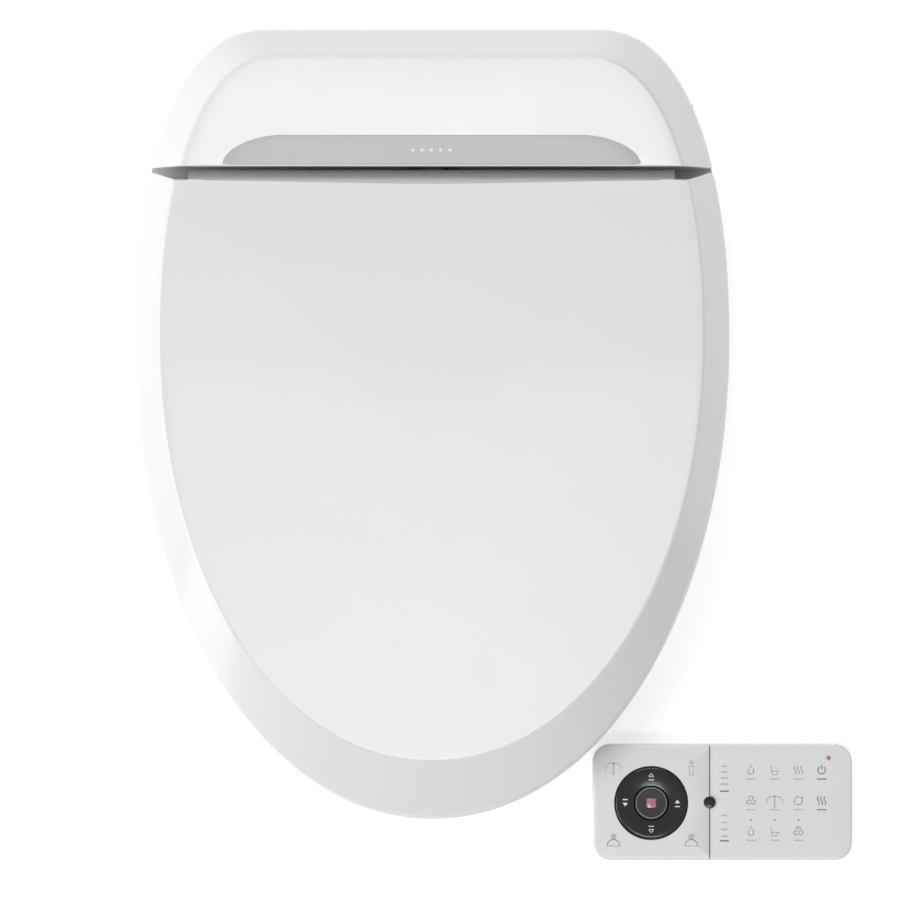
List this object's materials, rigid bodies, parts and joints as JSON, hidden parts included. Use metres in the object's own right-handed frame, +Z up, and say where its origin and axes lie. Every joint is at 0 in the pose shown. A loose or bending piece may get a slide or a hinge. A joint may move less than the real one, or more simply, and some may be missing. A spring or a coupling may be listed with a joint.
{
  "type": "electric bidet seat",
  "caption": "Electric bidet seat with a bevelled lid over a heated ring, a rear housing with a washing nozzle and dryer, and a flat wireless remote with a round dial.",
  "frame": {"origin": "middle of the mounting bracket's underside, midway between the two fixing bolts, on the bowl's rim plane", "axes": "+Z up, +Y towards the cistern, +X to the right of someone who faces the cistern"},
  "size_m": [0.4721, 0.5439, 0.12],
  "materials": {
    "white_gloss": "glossy white moulded plastic",
    "white_satin": "satin white moulded plastic",
    "grey_trim": "satin grey",
    "silver_panel": "silver-grey film under gloss",
    "inner_grey": "matt grey",
    "rubber": "matt",
    "steel": "brushed",
    "brass": "machined",
    "circuit": "solder mask",
    "black_gloss": "glossy black",
    "heater_foil": "foil",
    "lamp": "clear tinted lens",
    "cell": "printed sleeve"
  },
  "bodies": {
    "housing": {"rear_cover": "white_gloss", "display_panel": "silver_panel", "indicator_lens": "lamp", "base_tray": "white_gloss", "mounting_bracket": "inner_grey", "bracket_slider_left": "steel", "bracket_slider_right": "steel", "hinge_pin_left": "steel", "hinge_pin_right": "steel", "lid_damper": "inner_grey", "seat_damper": "inner_grey", "nozzle_cradle": "inner_grey", "nozzle_hood": "white_gloss", "nozzle_motor": "steel", "water_heater": "white_satin", "inlet_valve": "inner_grey", "water_inlet_fitting": "brass", "blower_housing": "inner_grey", "dryer_duct": "inner_grey", "deodoriser_fan": "inner_grey", "main_board": "circuit", "power_board": "circuit", "power_inlet": "black_gloss"},
    "seat": {"seat_top_shell": "white_gloss", "seat_bottom_shell": "white_satin", "seat_heater": "heater_foil", "seat_bumper_front_left": "rubber", "seat_bumper_front_right": "rubber", "seat_bumper_rear_left": "rubber", "seat_bumper_rear_right": "rubber"},
    "lid": {"lid_shell": "white_gloss", "lid_liner": "white_satin", "lid_hinge_barrel": "grey_trim", "lid_bumper_left": "rubber", "lid_bumper_right": "rubber"},
    "nozzle": {"nozzle_tip": "white_gloss", "nozzle_tube": "white_gloss", "nozzle_rack": "inner_grey"},
    "pinion": {"nozzle_pinion": "brass"},
    "blower_rotor": {"blower_wheel": "black_gloss"},
    "deodoriser_rotor": {"deodoriser_wheel": "black_gloss"},
    "cartridge": {"deodoriser_cartridge": "inner_grey"},
    "release": {"release_button": "grey_trim"},
    "remote": {"remote_back_shell": "white_gloss", "remote_front_shell": "white_gloss", "remote_key_panel": "white_gloss", "ir_window": "black_gloss", "status_lamp": "lamp", "remote_board": "circuit", "battery_lower": "cell", "battery_upper": "cell"},
    "dial_frame": {"dial_gimbal": "inner_grey"},
    "dial": {"direction_dial": "black_gloss"},
    "stop_key": {"stop_button": "black_gloss"},
    "battery_cover": {"battery_door": "white_gloss"}
  },
  "joints": [
    {"name": "seat_hinge", "type": "hinge", "parent": "housing", "child": "seat", "pos_m": [0, -0.06, 0.075], "axis": [-1, 0, 0], "range_deg": [0, 95]},
    {"name": "lid_hinge", "type": "hinge", "parent": "seat", "child": "lid", "pos_m": [0, -0.06, 0.075], "axis": [1, 0, 0], "range_deg": [-100, 0]},
    {"name": "nozzle_slide", "type": "slide", "parent": "housing", "child": "nozzle", "axis": [0, -0.9659, -0.2588], "range_m": [0, 0.05]},
    {"name": "pinion_spin", "type": "hinge", "parent": "housing", "child": "pinion", "pos_m": [0.01985, -0.01611, 0.04105], "axis": [0, -0.2588, 0.9659], "range_deg": [-1, 342]},
    {"name": "blower_spin", "type": "hinge", "parent": "housing", "child": "blower_rotor", "pos_m": [0.078, 0.014, 0.028], "axis": [0, 0, 1], "continuous": true},
    {"name": "deodoriser_spin", "type": "hinge", "parent": "housing", "child": "deodoriser_rotor", "pos_m": [-0.1, 0.002, 0.024], "axis": [0, 0, 1], "continuous": true},
    {"name": "cartridge_slide", "type": "slide", "parent": "housing", "child": "cartridge", "axis": [-1, 0, 0], "range_m": [0, 0.04]},
    {"name": "release_press", "type": "slide", "parent": "housing", "child": "release", "axis": [-1, 0, 0], "range_m": [0, 0.003], "stiffness_N_per_m": 400, "springref_m": -0.001},
    {"name": "remote_lift", "type": "slide", "parent": "housing", "child": "remote", "axis": [0, 0, 1], "range_m": [0, 0.12]},
    {"name": "dial_tilt_fore", "type": "hinge", "parent": "remote", "child": "dial_frame", "pos_m": [0.14466, -0.4462, 0.0103], "axis": [1, 0, 0], "range_deg": [-2.5, 2.5], "stiffness_Nm_per_rad": 0.6},
    {"name": "dial_tilt_side", "type": "hinge", "parent": "dial_frame", "child": "dial", "pos_m": [0.14466, -0.4462, 0.0103], "axis": [0, 1, 0], "range_deg": [-2.5, 2.5], "stiffness_Nm_per_rad": 0.6},
    {"name": "stop_press", "type": "slide", "parent": "dial", "child": "stop_key", "axis": [0, 0, -1], "range_m": [0, 0.0008], "stiffness_N_per_m": 300, "springref_m": -0.0005},
    {"name": "battery_door_slide", "type": "slide", "parent": "remote", "child": "battery_cover", "axis": [1, 0, 0], "range_m": [0, 0.02]}
  ],
  "couplings": [
    {"joint": "pinion_spin", "follows": "nozzle_slide", "rad_per_m": 119.05}
  ]
}
